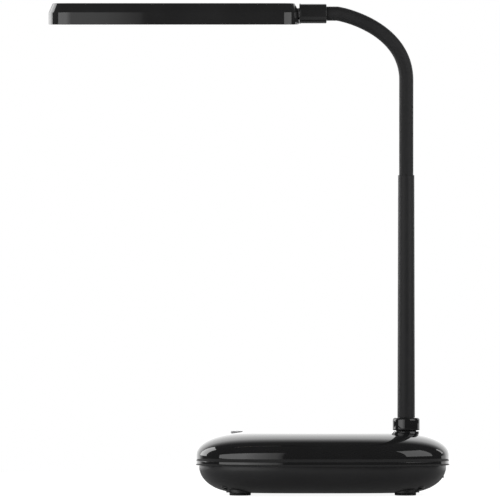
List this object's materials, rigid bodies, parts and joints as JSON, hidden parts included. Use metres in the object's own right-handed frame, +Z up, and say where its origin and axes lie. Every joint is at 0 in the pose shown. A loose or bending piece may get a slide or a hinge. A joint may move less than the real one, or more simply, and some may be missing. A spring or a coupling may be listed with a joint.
{
  "type": "gooseneck desk lamp",
  "caption": "Desk lamp with a long flat light head on a flexible neck, a stiff lower neck, and a weighted oval base with a push button.",
  "frame": {"origin": "on the desk plane, under the centre of the base", "axes": "+Z up; -X is where the head points, +X is the rear with the neck and the supply inlet; +Y completes the right-handed frame and is across the lamp"},
  "size_m": [0.3112, 0.124, 0.38],
  "materials": {
    "gloss_black": "polished piano black",
    "satin_black": "satin black",
    "sleeve_rubber": "matte black silicone sleeve",
    "black_rubber": "matte black",
    "lead_rubber": "soft black insulation",
    "button_grey": "smooth grey",
    "iron": "cast and zinc plated",
    "screw_steel": "zinc plated",
    "tube_steel": "plain steel",
    "board_green": "green solder mask",
    "component_black": "moulded black",
    "connector_white": "moulded off-white",
    "pin_brass": "nickel washed",
    "diffuser_white": "opal, lets light through",
    "reflector_white": "matte white",
    "phosphor_yellow": "phosphor",
    "plate_aluminium": "mill finish"
  },
  "bodies": {
    "base": {"base_cover": "gloss_black", "base_screws": "screw_steel", "base_tray": "satin_black", "base_trim_ring": "gloss_black", "board_parts": "component_black", "board_screws": "screw_steel", "collar_gasket": "black_rubber", "counterweight": "iron", "driver_board": "board_green", "foot_pads": "black_rubber", "gooseneck_root": "sleeve_rubber", "inlet_lead": "lead_rubber", "inlet_pin": "pin_brass", "inlet_socket": "component_black", "lead_connector": "connector_white", "lower_sleeve": "satin_black", "neck_collar": "gloss_black", "neck_lead": "lead_rubber", "neck_nut": "tube_steel", "neck_tube": "tube_steel", "neck_washer": "tube_steel", "switch_board": "board_green", "switch_body": "component_black", "switch_lead": "lead_rubber", "switch_screws": "screw_steel", "weight_screws": "screw_steel"},
    "button": {"button_cap": "button_grey", "switch_plunger": "connector_white"},
    "neck_01": {"gooseneck_link_01": "sleeve_rubber"},
    "neck_02": {"gooseneck_link_02": "sleeve_rubber"},
    "neck_03": {"gooseneck_link_03": "sleeve_rubber"},
    "neck_04": {"gooseneck_link_04": "sleeve_rubber"},
    "neck_05": {"gooseneck_link_05": "sleeve_rubber"},
    "neck_06": {"gooseneck_link_06": "sleeve_rubber"},
    "neck_07": {"gooseneck_link_07": "sleeve_rubber"},
    "neck_08": {"gooseneck_link_08": "sleeve_rubber"},
    "neck_09": {"gooseneck_link_09": "sleeve_rubber"},
    "neck_10": {"gooseneck_link_10": "sleeve_rubber"},
    "neck_11": {"gooseneck_link_11": "sleeve_rubber"},
    "neck_12": {"gooseneck_link_12": "sleeve_rubber"},
    "neck_13": {"gooseneck_link_13": "sleeve_rubber"},
    "head": {"gooseneck_tip": "sleeve_rubber", "head_connector": "gloss_black", "head_tenon": "tube_steel", "tenon_clamp": "satin_black", "clamp_screws": "screw_steel", "head_shell": "gloss_black", "heat_plate": "plate_aluminium", "led_board": "reflector_white", "led_chips": "phosphor_yellow", "reflector": "reflector_white", "diffuser": "diffuser_white", "head_bezel": "satin_black", "head_screws": "screw_steel", "bezel_screws": "screw_steel", "head_lead": "lead_rubber", "head_terminal": "connector_white"}
  },
  "joints": [
    {"name": "button_press", "type": "slide", "parent": "base", "child": "button", "axis": [0, 0, -1], "range_m": [0, 0.0006], "stiffness_N_per_m": 800, "springref_m": -0.0005},
    {"name": "neck_tilt_01", "type": "hinge", "parent": "base", "child": "neck_01", "pos_m": [0.0647, 0, 0.252], "axis": [0, 1, 0], "range_deg": [-10.7, 12.9]},
    {"name": "neck_sway_02", "type": "hinge", "parent": "neck_01", "child": "neck_02", "pos_m": [0.0647, 0, 0.26349], "axis": [1, 0, 0], "range_deg": [-10.7, 10.7]},
    {"name": "neck_tilt_03", "type": "hinge", "parent": "neck_02", "child": "neck_03", "pos_m": [0.0647, 0, 0.27498], "axis": [0, 1, 0], "range_deg": [-10.7, 12.9]},
    {"name": "neck_sway_04", "type": "hinge", "parent": "neck_03", "child": "neck_04", "pos_m": [0.0647, 0, 0.28646], "axis": [1, 0, 0], "range_deg": [-10.7, 10.7]},
    {"name": "neck_tilt_05", "type": "hinge", "parent": "neck_04", "child": "neck_05", "pos_m": [0.0647, 0, 0.29795], "axis": [0, 1, 0], "range_deg": [-10.7, 12.9]},
    {"name": "neck_sway_06", "type": "hinge", "parent": "neck_05", "child": "neck_06", "pos_m": [0.0647, 0, 0.30944], "axis": [1, 0, 0.0001], "range_deg": [-10.7, 10.7]},
    {"name": "neck_tilt_07", "type": "hinge", "parent": "neck_06", "child": "neck_07", "pos_m": [0.0647, 0, 0.32093], "axis": [0, 1, 0], "range_deg": [-10.7, 12.9]},
    {"name": "neck_sway_08", "type": "hinge", "parent": "neck_07", "child": "neck_08", "pos_m": [0.06316, 0, 0.33228], "axis": [0.9639, 0, 0.2662], "range_deg": [-10.7, 10.7]},
    {"name": "neck_tilt_09", "type": "hinge", "parent": "neck_08", "child": "neck_09", "pos_m": [0.05866, 0, 0.34281], "axis": [0, 1, 0], "range_deg": [-10.7, 12.9]},
    {"name": "neck_sway_10", "type": "hinge", "parent": "neck_09", "child": "neck_10", "pos_m": [0.05158, 0, 0.35182], "axis": [0.7154, 0, 0.6987], "range_deg": [-10.7, 10.7]},
    {"name": "neck_tilt_11", "type": "hinge", "parent": "neck_10", "child": "neck_11", "pos_m": [0.04273, 0, 0.35911], "axis": [0, 1, 0], "range_deg": [-10.7, 12.9]},
    {"name": "neck_sway_12", "type": "hinge", "parent": "neck_11", "child": "neck_12", "pos_m": [0.03277, 0, 0.36482], "axis": [0.4372, 0, 0.8994], "range_deg": [-10.7, 10.7]},
    {"name": "neck_tilt_13", "type": "hinge", "parent": "neck_12", "child": "neck_13", "pos_m": [0.02213, 0, 0.36913], "axis": [0, 1, 0], "range_deg": [-10.7, 12.9]},
    {"name": "neck_sway_14", "type": "hinge", "parent": "neck_13", "child": "head", "pos_m": [0.011, 0, 0.3719], "axis": [0.1217, 0, 0.9926], "range_deg": [-10.7, 10.7]}
  ],
  "couplings": [
    {"joint": "neck_tilt_03", "follows": "neck_tilt_01", "ratio": 1},
    {"joint": "neck_sway_04", "follows": "neck_sway_02", "ratio": 1},
    {"joint": "neck_tilt_05", "follows": "neck_tilt_01", "ratio": 1},
    {"joint": "neck_sway_06", "follows": "neck_sway_02", "ratio": 1},
    {"joint": "neck_tilt_07", "follows": "neck_tilt_01", "ratio": 1},
    {"joint": "neck_sway_08", "follows": "neck_sway_02", "ratio": 1},
    {"joint": "neck_tilt_09", "follows": "neck_tilt_01", "ratio": 1},
    {"joint": "neck_sway_10", "follows": "neck_sway_02", "ratio": 1},
    {"joint": "neck_tilt_11", "follows": "neck_tilt_01", "ratio": 1},
    {"joint": "neck_sway_12", "follows": "neck_sway_02", "ratio": 1},
    {"joint": "neck_tilt_13", "follows": "neck_tilt_01", "ratio": 1},
    {"joint": "neck_sway_14", "follows": "neck_sway_02", "ratio": 1}
  ]
}
